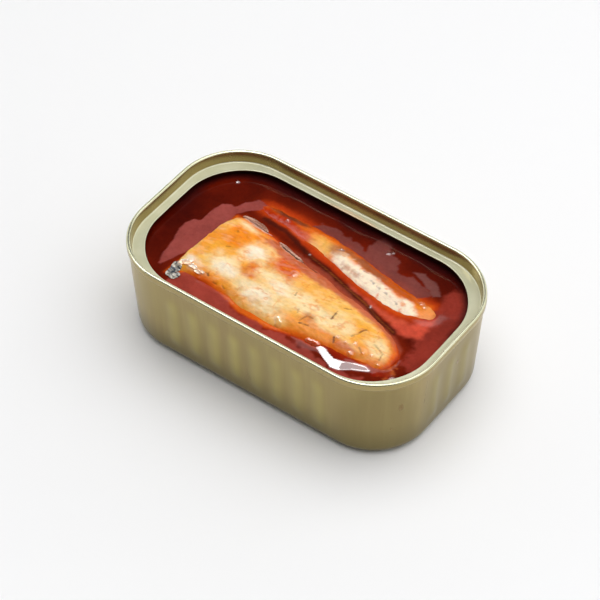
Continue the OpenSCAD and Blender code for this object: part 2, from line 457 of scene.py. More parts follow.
def pale_lacquer():
    """The lid ring's pale gold, smoother than the wall, with sauce dried on it in places. Its upright faces
    are painted darker and its undersides below the ledge nearly black, both painted shade.
    """
    material, tree, shader = new_material("pale_lacquer")
    place = object_place(tree)
    cloud = noise(tree, place, 110, 4.0, 0.55)
    tone = mix(tree, span(tree, cloud, 0.35, 0.68), (0.56, 0.56, 0.385), (0.63, 0.625, 0.45))
    facing = add(tree, "SeparateXYZ", {0: add(tree, "NewGeometry").outputs["Normal"]}).outputs["Z"]
    flat = span(tree, calc(tree, "ABSOLUTE", facing), 0.25, 0.75)
    # Painted shade: upright faces such as the chuck wall are painted darker brown than the flat ledge.
    tone = mix(tree, flat, (0.40, 0.315, 0.135), tone)
    level = add(tree, "SeparateXYZ", {0: place}).outputs["Z"]
    lip = calc(tree, "MULTIPLY", span(tree, level, LEDGE_Z - 0.05 * MM, LEDGE_Z - 0.22 * MM),
               span(tree, level, LEDGE_Z - 1.2 * MM, LEDGE_Z - 0.9 * MM))
    tone = mix(tree, lip, tone, (0.38, 0.19, 0.11))
    ragged = wobbled(tree, place, 600, 1.2 * MM)
    rust = stain(tree, ragged, (-45.6 * MM, 9.0 * MM, LEDGE_Z), (0.7 * MM, 1.6 * MM, 1.0 * MM))
    tint = stain(tree, ragged, (-2 * MM, 27.0 * MM, LEDGE_Z), (9 * MM, 0.9 * MM, 1.0 * MM))
    tone = mix(tree, calc(tree, "MULTIPLY", tint, 0.35), tone, (0.80, 0.40, 0.16))
    tone = mix(tree, calc(tree, "MULTIPLY", rust, 0.75), tone, (0.40, 0.16, 0.04))
    # Painted shade: undersides below the ledge are painted nearly black.
    under = calc(tree, "MULTIPLY", span(tree, facing, 0.6, 0.2),
                 span(tree, level, LEDGE_Z, LEDGE_Z - 0.08 * MM))
    tone = mix(tree, under, tone, (0.03, 0.012, 0.006))
    feed(tree, shader.inputs["Base Color"], tone)
    crown = span(tree, level, LEDGE_Z + 1 * MM, LEDGE_Z + 2 * MM)
    dull = calc(tree, "MULTIPLY", flat, calc(tree, "SUBTRACT", 1.0, crown))
    feed(tree, shader.inputs["Metallic"], mix_value(tree, dull, 0.85, 0.12))
    feed(tree, shader.inputs["Roughness"], span(tree, cloud, 0.3, 0.75, 0.20, 0.28))
    feed(tree, shader.inputs["Normal"], bump(tree, cloud, 0.02 * MM, 0.3))
    return material


def oil_coat(tree, shader):
    """Bright oil where the piece's "oil" attribute says."""
    feed(tree, shader.inputs["Coat Weight"], add(tree, "Attribute", attribute_name="oil").outputs["Fac"])
    set_values(shader, {"Coat Roughness": 0.04, "Coat IOR": 2.0})


def sauce_finish():
    """Glossy tomato sauce over its painted colours, with fine pulp."""
    material, tree, shader = new_material("tomato_sauce")
    place = object_place(tree)
    paint = add(tree, "Attribute", attribute_name="paint").outputs["Color"]
    pulp = noise(tree, place, 1000, 4.0, 0.65)
    swirl = noise(tree, wobbled(tree, place, 60, 6 * MM), 130, 5.0, 0.6)
    both = calc(tree, "ADD", calc(tree, "MULTIPLY", pulp, 0.4), calc(tree, "MULTIPLY", swirl, 0.6))
    shade = span(tree, both, 0.3, 0.7, 0.80, 1.16)
    tone = mix(tree, 1.0, paint, combine(tree, shade), "MULTIPLY")
    feed(tree, shader.inputs["Base Color"], tone)
    set_values(shader, {"Roughness": 0.08, "IOR": 1.42, "Subsurface Weight": 0.1, "Subsurface Scale": 1.0,
                        "Subsurface Radius": (1.2 * MM, 0.3 * MM, 0.1 * MM)})
    fine = bump(tree, pulp, 0.02 * MM, 0.2)
    oil_coat(tree, shader)
    broad = bump(tree, noise(tree, place, 160, 2.0, 0.5), 0.12 * MM, 0.3, fine)
    feed(tree, shader.inputs["Normal"], broad)
    return material


def fish_finish(name, turn):
    """Wet sardine flesh over its painted colours: fine fibres along the fish, flecks and pores."""
    material, tree, shader = new_material(name)
    place = object_place(tree)
    paint = add(tree, "Attribute", attribute_name="paint").outputs["Color"]
    wet = add(tree, "Attribute", attribute_name="wet").outputs["Fac"]
    along = placed(tree, place, scale=(0.3, 1, 1), turn=turn)
    fibre = noise(tree, along, 1400, 5.0, 0.65)
    curd = noise(tree, wobbled(tree, place, 200, 2 * MM), 520, 5.0, 0.62)
    both = calc(tree, "ADD", calc(tree, "MULTIPLY", fibre, 0.5), calc(tree, "MULTIPLY", curd, 0.5))
    shade = span(tree, both, 0.32, 0.66, 0.86, 1.06)
    tone = mix(tree, 1.0, paint, combine(tree, shade), "MULTIPLY")
    across = placed(tree, place, scale=(0.45, 1, 1), turn=turn + 0.8)
    fleck = span(tree, noise(tree, across, 1500, 3.0, 0.7), 0.68, 0.76)
    tone = mix(tree, calc(tree, "MULTIPLY", fleck, 0.45), tone, (0.22, 0.08, 0.02))
    feed(tree, shader.inputs["Base Color"], tone)
    feed(tree, shader.inputs["Roughness"], mix_value(tree, wet, 0.30, 0.08))
    set_values(shader, {"IOR": 1.42, "Specular IOR Level": 0.15, "Subsurface Weight": 0.2,
                        "Subsurface Scale": 1.0, "Subsurface Radius": (1.2 * MM, 0.5 * MM, 0.2 * MM)})
    relief = calc(tree, "ADD", calc(tree, "MULTIPLY", fibre, 0.5), curd)
    oil_coat(tree, shader)
    depth = mix_value(tree, wet, 0.9, 0.20)
    feed(tree, shader.inputs["Normal"], bump(tree, relief, 0.20 * MM, depth))
    return material


# ---- The tin's body ----
def body_section():
    """From the flange's edge in to the wall, down it, round the base and up to the raised panel."""
    flange = [(0.08 * MM, WALL_TOP), (0.34 * MM, WALL_TOP)]
    bend = [(WALL_INSET - 0.03 * MM, WALL_TOP - 0.04 * MM), (WALL_INSET, WALL_TOP - 0.14 * MM)]
    wall = line_points(bend[-1], (BASE_INSET, BASE_ROUND), 30)
    base = [(BASE_INSET + BASE_ROUND * (1 - math.cos(math.radians(a))),
             BASE_ROUND * (1 - math.sin(math.radians(a)))) for a in range(10, 91, 10)]
    foot_end = BASE_INSET + BASE_ROUND + FOOT_W
    foot = [(foot_end - 1.2 * MM, 0), (foot_end, 0)]
    step = [(foot_end + 1.2 * MM * i / 6, PANEL_RISE * float(ease(i / 6, 0, 1))) for i in range(1, 7)]
    return flange + bend + wall + base + foot + step


def flute_weight(x, y, z):
    """How far a point of the wall stands out: flutes on the straights, fading out at both ends."""
    long_run, short_run = HALF_L - SEAM_R, HALF_W - SEAM_R
    on_long = np.abs(y) > HALF_W - 3 * MM
    along = np.where(on_long, x, y)
    run = np.where(on_long, long_run, short_run)
    row = np.where(on_long, 4 * FLUTE_PITCH, 1.5 * FLUTE_PITCH)
    shift = np.where(on_long, 0, 0.5)
    wave = 0.5 - 0.5 * np.cos(2 * np.pi * (along / FLUTE_PITCH + shift))
    wave = np.power(wave, 1.3)
    sides = ease(run + 1.5 * MM - np.abs(along), 0, 2.5 * MM) * (np.abs(along) < row)
    ends = ease(z, FLUTE_LOW, FLUTE_LOW + 4 * MM) * ease(FLUTE_HIGH - z, 0, 5 * MM)
    return wave * sides * ends


def make_body(material):
    """The tin: a plate inset down the wall's section, with its flutes raised, given its sheet's thickness."""
    section = body_section()
    start = section[0][0]
    body = outline_plate("tin_wall", HALF_L - start, HALF_W - start, SEAM_R - start, WALL_TOP)
    inset_along(section)
    bpy.ops.mesh.select_all(action="SELECT")
    bpy.ops.mesh.flip_normals()
    bpy.ops.object.mode_set(mode="OBJECT")
    points = get_points(body)
    weights = flute_weight(*points.T)
    weights[points[:, 2] < FLUTE_LOW] = 0
    group = body.vertex_groups.new(name="flutes")
    for index in np.nonzero(weights > 0.001)[0]:
        group.add([int(index)], float(weights[index]), "REPLACE")
    apply_modifier(body, "DISPLACE", strength=FLUTE_DEPTH, mid_level=0, vertex_group="flutes")
    apply_modifier(body, "SOLIDIFY", thickness=SHEET, offset=-1)
    store_values(body, "crest", np.clip(flute_weight(*get_points(body).T), 0, 1))
    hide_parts("tin_body")
    return finish_piece(body, "root", material, angle=40)


# ---- The seamed ring that the lid leaves ----
def make_seam():
    """The seam and the chuck wall: a slab whose two faces are inset down to the ledge."""
    top_r = SEAM_W / 2
    hem = 0.35 * MM
    seam = outline_plate("lid_seam", HALF_L, HALF_W, SEAM_R, WALL_TOP + hem)
    bpy.ops.mesh.extrude_region_move(
        TRANSFORM_OT_translate={"value": (0, 0, RIM_Z - top_r - WALL_TOP - hem)})
    crown = [(top_r * (1 - math.cos(math.radians(a))), RIM_Z - top_r + top_r * math.sin(math.radians(a)))
             for a in range(0, 181, 15)]
    fillet = 0.5 * MM
    foot = LEDGE_INSET + fillet
    chuck = line_points(crown[-1], (LEDGE_INSET - 0.02 * MM, LEDGE_Z + fillet), 6)
    root = [(foot - fillet * math.cos(math.radians(a)), LEDGE_Z + fillet - fillet * math.sin(math.radians(a)))
            for a in range(15, 91, 15)]
    inset_along(crown + chuck + root)
    bpy.ops.mesh.delete(type="FACE")
    pick("FACE", lambda f: f.normal.z < -0.9)
    under = [(0, 0), (0.05 * MM, 0.18 * MM), (0.18 * MM, 0.31 * MM), (0.36 * MM, hem), (0.95 * MM, hem),
             (1.0 * MM, hem - 1.2 * MM), (LEDGE_INSET - 0.15 * MM, WALL_TOP + hem - LEDGE_Z),
             (foot, WALL_TOP + hem - LEDGE_Z + SHEET)]
    inset_along(under)
    bpy.ops.mesh.delete(type="FACE")
    bpy.ops.object.mode_set(mode="OBJECT")
    return seam


def make_curl():
    """The curled edge round the opening, with its bowed ends."""
    half_x, half_y = HALF_L - LEDGE_END + CURL_W, HALF_W - LEDGE_SIDE + CURL_W
    curl = outline_plate("lid_curl", half_x, half_y, OPENING_R + CURL_W, LEDGE_Z - SHEET)
    bpy.ops.mesh.extrude_region_move(TRANSFORM_OT_translate={"value": (0, 0, SHEET)})
    top = [(0, 0), (0.25 * MM, 0.01 * MM), (0.42 * MM, 0.04 * MM), (0.58 * MM, 0.05 * MM),
           (0.72 * MM, 0.02 * MM), (0.82 * MM, -0.07 * MM), (0.88 * MM, -0.22 * MM), (CURL_W, -0.4 * MM)]
    inset_along(top)
    bpy.ops.mesh.delete(type="FACE")
    pick("FACE", lambda f: f.normal.z < -0.9)
    under = [(0, 0), (0.2 * MM, -0.1 * MM), (0.3 * MM, -0.35 * MM), (0.45 * MM, -0.5 * MM),
             (0.62 * MM, -0.5 * MM), (0.78 * MM, -0.38 * MM), (CURL_W, -0.12 * MM)]
    inset_along([(o, -z) for o, z in under])
    bpy.ops.mesh.delete(type="FACE")
    pick("FACE", lambda f: outer_face(f, half_x, half_y))
    bpy.ops.mesh.delete(type="FACE")
    inner_loops(lambda v: v.co.z < LEDGE_Z - 0.36 * MM and inward(v.co, half_x, half_y) > CURL_W * 0.97)
    bpy.ops.object.mode_set(mode="OBJECT")
    points = get_points(curl)
    bow = OPENING_BOW * np.clip(1 - (points[:, 1] / (20 * MM)) ** 2, 0, 1)
    points[:, 0] += np.sign(points[:, 0]) * bow
    set_points(curl, points)
    return curl


def inward(place, half_x, half_y):
    """How far a point lies inside a rounded outline of the opening's family."""
    radius = OPENING_R + CURL_W
    qx, qy = abs(place.x) - (half_x - radius), abs(place.y) - (half_y - radius)
    out = math.hypot(max(qx, 0), max(qy, 0)) + min(max(qx, qy), 0)
    return radius - out


def outer_face(face, half_x, half_y):
    """Whether a face stands upright on the outline's outer edge."""
    return abs(face.normal.z) < 0.3 and all(inward(v.co, half_x, half_y) < 0.01 * MM for v in face.verts)


def inner_loops(test):
    """Joins the two innermost loops into the curl's inner edge."""
    pick("EDGE", lambda e: e.is_boundary and all(test(v) for v in e.verts))
    bpy.ops.mesh.bridge_edge_loops()


def make_ring(material):
    """The seam and the curl, joined by the flat ledge between them."""
    seam, curl = make_seam(), make_curl()
    select_only(seam, curl)
    bpy.ops.object.join()
    ring = bpy.context.object
    ring.name = "lid_rim"
    bpy.ops.object.mode_set(mode="EDIT")
    middle = LEDGE_Z - SHEET / 2
    for above in (True, False):
        pick("EDGE", lambda e: e.is_boundary and all((v.co.z > middle) == above for v in e.verts))
        bpy.ops.mesh.bridge_edge_loops(number_cuts=3, interpolation="LINEAR")
    bpy.ops.mesh.select_all(action="SELECT")
    bpy.ops.mesh.remove_doubles(threshold=TOUCHING)
    bpy.ops.mesh.normals_make_consistent(inside=False)
    bpy.ops.object.mode_set(mode="OBJECT")
    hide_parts("lid_ring")
    return finish_piece(ring, "root", material, angle=50)


# ---- Sardines ----
def make_fish(name, stations, corner):
    """A piece of fish: a rounded section drawn out along the tin, station by station.

    Each station is (x, near side, far side, underside, top) in millimetres."""
    x, near, far, low, high = stations[0]
    start_clean()
    bpy.ops.mesh.primitive_plane_add(size=2, location=(0, 0, 0), rotation=(0, math.radians(90), 0))
    fish = bpy.context.object
    fish.name = name
    bpy.ops.object.transform_apply(location=True, rotation=True, scale=True)
    bpy.ops.object.mode_set(mode="EDIT")
    bpy.ops.mesh.select_all(action="SELECT")
    bpy.ops.mesh.bevel(offset=corner, segments=3, affect="VERTICES")
    bpy.ops.mesh.select_all(action="SELECT")
    bpy.ops.transform.resize(value=(1, (far - near) / 2 * MM, (high - low) / 2 * MM),
                             center_override=(0, 0, 0))
    here = Vector((x, (near + far) / 2, (low + high) / 2)) * MM
    bpy.ops.transform.translate(value=here)
    for (_, n0, f0, l0, h0), (x1, n1, f1, l1, h1) in zip(stations, stations[1:]):
        there = Vector((x1, (n1 + f1) / 2, (l1 + h1) / 2)) * MM
        bpy.ops.mesh.extrude_region_move(TRANSFORM_OT_translate={"value": there - here})
        bpy.ops.transform.resize(value=(1, (f1 - n1) / (f0 - n0), (h1 - l1) / (h0 - l0)),
                                 center_override=there)
        here = there
    bpy.ops.mesh.select_all(action="SELECT")
    bpy.ops.mesh.normals_make_consistent(inside=False)
    bpy.ops.object.mode_set(mode="OBJECT")
    return fish


def soften(fish, lumps):
    """Rounds the fish, evens its mesh and raises lumps of flesh, each pattern with a size and a height."""
    apply_modifier(fish, "SUBSURF", levels=3, render_levels=3)
    apply_modifier(fish, "REMESH", mode="VOXEL", voxel_size=FISH_GRID)
    apply_modifier(fish, "SMOOTH", factor=0.6, iterations=4)
    for index, (size, height) in enumerate(lumps):
        texture = bpy.data.textures.new(fish.name + "_flesh" + str(index), "CLOUDS")
        texture.noise_scale = size
        texture.noise_depth = 2
        apply_modifier(fish, "DISPLACE", texture=texture, strength=height, mid_level=0.5)


FISH_GRID = 0.3 * MM
FIBRE_TURN = 0.2

# Each station of a fish is x, near side, far side, underside and top, in millimetres
FRONT_STATIONS = [
    (-32.0, -18.0, 9.2, 14.0, 28.4), (-32.4, -20.4, 11.2, 12.0, 29.2), (-31.2, -21.4, 11.6, 11.6, 29.6),
    (-26.0, -20.6, 10.9, 11.6, 29.7), (-18.0, -20.8, 9.5, 11.8, 29.7), (-8.0, -21.8, 7.5, 12.0, 29.8),
    (2.0, -22.2, 5.3, 12.6, 29.8), (12.0, -21.8, 3.2, 13.4, 29.6), (21.0, -21.0, 1.2, 14.4, 29.3),
    (28.0, -20.2, -0.8, 15.4, 28.9), (33.0, -19.4, -2.8, 16.6, 28.5), (37.0, -18.0, -5.0, 18.0, 27.9),
    (39.8, -16.2, -8.0, 20.0, 27.2), (40.6, -14.4, -10.2, 21.6, 26.6),
]
BACK_STATIONS = [
    (-30.0, 14.0, 19.0, 20.0, 25.8), (-27.5, 12.0, 20.6, 17.0, 26.9), (-22.0, 10.6, 21.8, 14.5, 27.3),
    (-14.0, 8.8, 22.6, 13.0, 27.4), (-4.0, 7.0, 22.6, 12.6, 27.6), (6.0, 4.8, 20.6, 12.6, 27.9),
    (16.0, 2.6, 18.6, 13.0, 28.0), (25.0, 0.8, 17.0, 14.0, 27.8), (31.0, 0.4, 16.4, 15.0, 27.5),
    (36.0, 1.6, 16.4, 16.4, 27.2), (39.5, 3.6, 15.2, 18.0, 26.8), (41.0, 5.4, 13.4, 20.0, 26.0),
]

# Height of flesh for each millimetre in from the shore
FRONT_SLOPE = 0.62
BACK_SLOPE = 0.26

# The slant of the large fish's cut end: its depth, the side it starts from and the width it runs over
CUT_SLANT = 1.9 * MM
CUT_START = -7
CUT_WIDTH = 16

# Colours of cooked flesh soaked in tomato
WHITE_FLESH = (0.96, 0.84, 0.66)
CREAM_FLESH = (0.95, 0.71, 0.38)
STRAW_FLESH = (0.93, 0.52, 0.13)
AMBER_FLESH = (0.90, 0.38, 0.030)
ORANGE_FLESH = (0.86, 0.23, 0.004)
RUST_FLESH = (0.70, 0.12, 0.003)
BROWN_FLESH = (0.50, 0.19, 0.075)

# Patches of flesh, in millimetres: centre x, y, half length, half width, turn in degrees, colour, amount
FRONT_PATCHES = [
    (24, -10, 16, 6.5, -12, STRAW_FLESH, 0.8), (-22.5, -1.0, 8, 7, -20, ORANGE_FLESH, 1.0),
    (-30, -5, 2.4, 7, 0, ORANGE_FLESH, 0.8),
    (-26.5, -7.5, 4.5, 3, 0, AMBER_FLESH, 0.9), (-16, -8.2, 8, 2.6, -20, AMBER_FLESH, 0.85),
    (-29.4, 4, 1.8, 5, 0, STRAW_FLESH, 0.7), (-9, 2.5, 7.5, 3, -18, ORANGE_FLESH, 0.9),
    (-25, 5.8, 4.5, 1.9, -15, CREAM_FLESH, 0.85), (-15.5, -3, 5.4, 4.4, -25, CREAM_FLESH, 0.95),
    (-15.8, -3, 3, 2.6, -25, WHITE_FLESH, 0.8), (-20.5, -12, 6.2, 3.9, -10, CREAM_FLESH, 0.95),
    (-19.5, -12.5, 3.4, 2.4, 0, WHITE_FLESH, 0.8), (-12.5, -9.4, 2.5, 3.0, 20, RUST_FLESH, 0.9),
    (-4.2, -2.2, 6.0, 5.0, -14, (0.70, 0.095, 0.004), 1.0), (-2.5, -10, 8.6, 3.2, -12, CREAM_FLESH, 0.95),
    (-1.5, -10, 4.4, 1.6, -12, WHITE_FLESH, 0.7), (-5, -16, 9, 4.2, -8, CREAM_FLESH, 0.95),
    (-6, -15.6, 4.4, 2.4, 0, WHITE_FLESH, 0.8), (6.5, -4.2, 7, 2.6, -10, (0.95, 0.45, 0.09), 0.9),
    (8, -10.5, 7.4, 3.3, -10, CREAM_FLESH, 0.9), (15, -12.5, 6.4, 3.2, -10, CREAM_FLESH, 0.85),
    (11.6, -14.2, 2.0, 1.9, 0, BROWN_FLESH, 0.8), (27, -9, 5, 2.8, -20, AMBER_FLESH, 0.8),
    (21, -10, 3.6, 3.1, -20, CREAM_FLESH, 0.7), (33.5, -12, 4.6, 3.1, -25, CREAM_FLESH, 0.8),
    (31, -14.6, 4.2, 1.5, -15, ORANGE_FLESH, 0.6), (17, -17, 8.5, 1.8, -5, ORANGE_FLESH, 0.85),
    (25.5, -16.6, 6.5, 1.5, -5, RUST_FLESH, 0.7), (3, -19, 4.4, 2.6, -10, CREAM_FLESH, 0.8),
    (-28.4, -16.2, 4.2, 1.9, -22, WHITE_FLESH, 0.9), (-18, -18.2, 11, 2.2, -6, (0.95, 0.33, 0.02), 1.0),
    (-19, -20.2, 11, 1.0, -4, RUST_FLESH, 0.9), (-4, -21.4, 10, 2.0, 0, (0.96, 0.46, 0.10), 0.9),
    (14, -18.2, 9.5, 1.9, -3, (0.95, 0.34, 0.06), 0.9), (29, -18.2, 9, 1.7, 4, (0.42, 0.035, 0.003), 0.95),
    (37, -16.4, 4, 1.8, 25, RUST_FLESH, 0.8), (33, -5.8, 9, 1.6, -26, ORANGE_FLESH, 0.7),
]
BACK_PATCHES = [
    (-19, 13.6, 8.5, 3.6, -4, (0.46, 0.025, 0.001), 0.95), (-12, 12.6, 5, 1.9, -5, (0.62, 0.085, 0.04), 0.85),
    (-18, 17.0, 6.5, 1.0, 0, (0.10, 0.03, 0.015), 0.75), (-3.5, 12, 4.6, 2.8, -15, STRAW_FLESH, 0.8),
    (1.5, 13.8, 3.2, 2.1, -15, BROWN_FLESH, 0.85), (12, 13.8, 9.5, 1.7, -12, (0.30, 0.085, 0.03), 0.85),
    (26, 11.6, 8, 1.7, -8, (0.50, 0.08, 0.002), 0.9), (37.2, 9.6, 2.4, 4.5, 0, (0.95, 0.36, 0.10), 0.8),
]
# The large fish: its shore in the sauce, the films and skin at its far edge, its cracks and nicks
FRONT_SHORE = [(-38, -24), (-38, 10), (-20, 8), (-8, 6), (4, 3.5), (14, 1.5), (24, -1), (31, -2.5),
               (36, -5.5), (39.5, -9), (40, -14), (38, -17.5), (30, -19), (21, -19.5), (12, -20.5), (2, -23),
               (-8, -22.5), (-16, -20), (-22, -19), (-26, -19), (-29, -20)]
FRONT_EDGE_FILM = [(-20, 4.5), (-15, 3), (-9, 1), (-1, -1), (10, -2), (20, -3), (30, -5.5), (37, -9),
                   (37.5, -4), (29, -0.5), (18, 1.5), (4, 4), (-6, 5.5), (-14, 7)]
FRONT_STRIP = [(-30, 10.5), (-25.5, 10.5), (-20.5, 9.5), (-18, 8), (-19.5, 7), (-23, 7), (-27.5, 8)]
FRONT_FLAP = [(-14, 7), (-12.5, 7), (-7, 5), (-2.5, 3.5), (-4.5, 3), (-9, 4), (-12.5, 5)]
FRONT_CRACK = [(-29.5, 11), (-24, 11), (-18.5, 9.5), (-14, 8), (-8.5, 6), (-2, 4), (2, 3)]
FLAP_GAP = [(-12, 5.5), (-8.5, 4.5), (-5, 3.5)]
FRONT_NICKS = [
    [(17, -10.5), (17, -7.5)], [(17.5, -5), (19.5, -4)], [(25.5, -12.5), (26.5, -10.5)],
    [(26.5, -10), (27.5, -8)], [(32.5, -11), (36, -12)], [(36, -12.5), (36.5, -14.5)],
    [(-23.5, -16.5), (-22, -17)], [(-20, -18), (-18.5, -18)], [(-17, -17.5), (-16, -18)],
    [(3, -8), (3.5, -9.5)], [(-25.5, 1.5), (-25, 1)], [(10, -16.5), (11, -14), (13, -14)],
    [(13, -16.5), (10.5, -17)], [(-24.5, -5.5), (-23.5, -5)], [(7.5, -13.5), (8, -14.5)],
    [(21.5, -15.5), (22.5, -17)], [(29.5, -14.5), (31, -15.5)],
]

# The slimmer fish: its pale strip, its shore, its smudge, its nicks and its dark end
BACK_CREAM = [(1, 12), (4.5, 13.5), (8, 13), (12, 12), (18, 11), (25, 9.5), (31, 9), (35, 7),
              (34, 4.5), (28, 3.5), (22, 4.5), (16, 6), (10, 7), (4, 9)]
BACK_SHORE = [(-26, 19), (-14, 19), (-1, 18.5), (7, 17), (17, 15), (30, 13.5), (37.5, 13.5), (39, 10.5),
              (37, 6), (31.5, 3), (26, 3), (20, 4), (12, 6), (5, 8), (-3.5, 10), (-18, 13), (-27.5, 15.5)]
BACK_SMUDGE = [(7, 10), (9.5, 9.5), (12, 9)]
BACK_NICKS = [[(17, 9.5), (18, 9)], [(19.5, 8.5), (20.5, 8.5)], [(22.5, 8), (23.5, 8)],
              [(27, 7), (28, 6.5)], [(1.5, 14), (3.5, 15)], [(13, 11.5), (14.5, 11.5)]]
BACK_END_PATCH = [(31.5, 18), (36.5, 16.5), (37.5, 13.5), (34.5, 15)]

# Paler mauve veils on the sauce, which are painted reflections, and the crease beside the large fish, painted
# dark as painted shade
LEFT_VEIL = [(-38.5, -20.5), (-39.5, -16.5), (-40.5, -11), (-42, -5.5), (-42, -2.5), (-41, 0),
             (-39, 1), (-39, 4.5), (-38.5, 7.5), (-38, 10.5), (-36, 11.5), (-34, 11), (-32.5, 14.5),
             (-30, 18), (-28, 18), (-26, 17), (-27, 14), (-30, 12), (-32, 9), (-32, 3.5),
             (-32.5, 0), (-33, -4.5), (-33.5, -9), (-34.5, -12.5), (-36, -16), (-37.5, -20.5)]
FAR_VEIL = [(-13, 17.5), (-8.5, 20.5), (-2.5, 21.5), (2.5, 20.5), (8, 19.5), (8.5, 23), (9.5, 27.5),
            (13, 26), (14, 22.5), (19, 21.5), (20.5, 17.5), (25, 18.5), (30.5, 17.5), (34, 16),
            (30, 11), (14, 13), (0, 15), (-9, 16)]
SMALL_VEIL = [(24, 20.5), (27.5, 22), (32.5, 20.5), (36, 17), (34.5, 15), (32, 17), (27.5, 19)]
RIGHT_VEIL = [(36, 6.5), (38.5, 12), (37.5, 17.5), (38.5, 21.5), (42, 23.5), (46, 20), (49, 13), (50, 4),
              (49.5, -5), (47, -13), (42, -10), (40, -4), (37.5, 2)]
NEAR_VEIL = [(-33, -23), (-30.5, -19), (-27, -18), (-22, -19), (-15, -20.5), (-9.5, -22), (-4, -23),
             (3.5, -23), (9, -22), (16, -22.5), (26, -24.5), (36, -21.5), (36, -28), (-30, -28)]
CREASE = [(-24, 12.5), (-16, 12), (-11, 10.5), (-4, 8), (4.5, 6), (13.5, 3.5), (20, 2), (27.5, -1),
          (33, -2.5)]


def plan(piece):
    """The piece's points in millimetres: x, y and z."""
    return (get_points(piece) / MM).T


def flesh_colours(level, x, y, seed):
    """Soaked flesh: red at the sauce's edge, through orange, to yellow-orange further in."""
    level = level + (mottle(x, y, 7, seed, 3) - 0.5) * 1.7 * ease(level, 0, 1.5)
    return ramp(level, [(-0.5, (0.34, 0.022, 0.003)), (0.0, (0.52, 0.050, 0.005)), (0.5, (0.78, 0.14, 0.010)),
                        (1.2, (0.86, 0.24, 0.014)), (2.0, (0.90, 0.38, 0.035)), (3.0, (0.92, 0.50, 0.095))])


def lay_patches(colours, x, y, patches, clear, seed):
    """Lays soft, ragged ovals of colour one over another."""
    for k, (cx, cy, a, b, turn, colour, amount) in enumerate(patches):
        mask = blob_mask(x, y, [(cx, cy, a, b)], math.radians(turn), 0.32, 3.0, seed + k)
        colours = lay(colours, amount * mask * clear, colour)
    return colours


def vein_mask(x, y, size, seed):
    """Thin wandering lines where sauce has run into the seams of the flesh."""
    lines = ease(1 - np.abs(2 * mottle(x * 0.8, y * 1.3, size, seed, 3) - 1), 0.86, 0.98)
    return lines * ease(mottle(x, y, 5, seed + 3, 2), 0.35, 0.7)


def front_level(x, y):
    """How far in from the front fish's shore, as a height of flesh."""
    return reach_inside(x, y, FRONT_SHORE) * FRONT_SLOPE


def back_level(x, y):
    """How far in from the slimmer fish's shore, as a height of flesh."""
    return reach_inside(x, y, BACK_SHORE) * BACK_SLOPE


# Beads of oil that stand on the fish: centre x, y and radius
FRONT_BEADS = [(-1.5, -3, 1.5), (5, -20, 1.2), (4, -19, 1.1), (28.5, -17.5, 1.1), (15.5, -20, 1.0),
               (17, -20, 1.2), (18.5, -20, 1.2), (22.5, -15, 0.8), (28, -14, 0.8), (34, -14.5, 0.7),
               (37, -16, 0.7), (25.5, -15.5, 0.6), (31.5, -15.5, 0.7)]
BACK_BEADS = [(33.5, 11.5, 1.2), (35, 10.5, 0.7), (-17.5, 15.5, 0.6), (2.5, 15, 0.5)]


def bead_mask(x, y, beads):
    """Rounded beads, 1 at their middles."""
    total = np.zeros(len(x))
    for cx, cy, r in beads:
        total = np.maximum(total, np.clip(1 - ((x - cx) ** 2 + (y - cy) ** 2) / r ** 2, 0, 1))
    return total


def store_paint(fish, place, colours, wet, oil):
    """Moves the fish's points and stores its colours, its wetness and its oil on them."""
    set_points(fish, np.stack(place, axis=1) * MM)
    store_colours(fish, "paint", colours)
    store_values(fish, "wet", wet)
    store_values(fish, "oil", oil)


def paint_front(fish):
    """Colours the large fish, with painted shade in its cracks, and raises its strips of skin, its oil and
    its cracks.
    """
    x, y, z = plan(fish)
    height = z - SAUCE_Z / MM
    shore = front_level(x, y)
    clear = ease(shore, 0.5, 2.0)
    colours = flesh_colours(shore, x, y, 11)
    colours = lay_patches(colours, x, y, FRONT_PATCHES, clear, 21)
    fibres = mottle(0.35 * (x + 0.2 * y), y - 0.2 * x, 1.3, 31, 3)
    colours = lay(colours, 0.30 * clear * ease(fibres, 0.45, 0.8), AMBER_FLESH)
    colours = lay(colours, 0.12 * clear * ease(fibres, 0.5, 0.15), WHITE_FLESH)
    veins = vein_mask(x, y, 3.4, 91) * clear
    colours = lay(colours, 0.5 * veins, (0.78, 0.20, 0.018))
    film = area_mask(x, y, FRONT_EDGE_FILM, 1.1, 1.0, 4, 51) * ease(z, 26.2, 27.2)
    colours = lay(colours, 0.85 * film, (0.50, 0.105, 0.045))
    strip = np.maximum(area_mask(x, y, FRONT_STRIP, 0.4, 0.4, 1.5, 61),
                       area_mask(x, y, FRONT_FLAP, 0.35, 0.3, 1.5, 62))
    streaks = mottle(x * 0.5 + y, y * 2, 1.2, 63)[:, None]
    skin = np.array((0.50, 0.27, 0.20)) * (1 - streaks) + np.array((0.78, 0.56, 0.44)) * streaks
    colours = colours * (1 - 0.85 * strip[:, None]) + skin * 0.85 * strip[:, None]
    nicks = strongest(line_mask(x, y, path, 0.36, 0.24, 0.20, 0.8, 70 + k) * (0.6 if k % 3 else 1.0)
                      for k, path in enumerate(FRONT_NICKS))
    colours = lay(colours, 0.9 * nicks * ease(height, 0.3, 1), (0.13, 0.035, 0.006))
    # Painted shade: the crack along the far edge and the gap under the flap are painted nearly black, besides
    # being sunk.
    crack = np.maximum(line_mask(x, y, FRONT_CRACK, 0.9, 0.3, 0.35, 1.4, 81),
                       line_mask(x, y, FLAP_GAP, 0.6, 0.25, 0.2, 1.2, 82))
    colours = lay(colours, 0.85 * crack, (0.075, 0.022, 0.008))
    oil = bead_mask(x, y, FRONT_BEADS)
    z += 0.30 * strip - 0.5 * crack - 0.18 * nicks + 0.45 * oil
    wet = np.clip(np.maximum(1 - ease(height, 0.2, 1.7), film), 0, 1)
    store_paint(fish, (x, y, z), colours, wet, ease(oil, 0.1, 0.5))


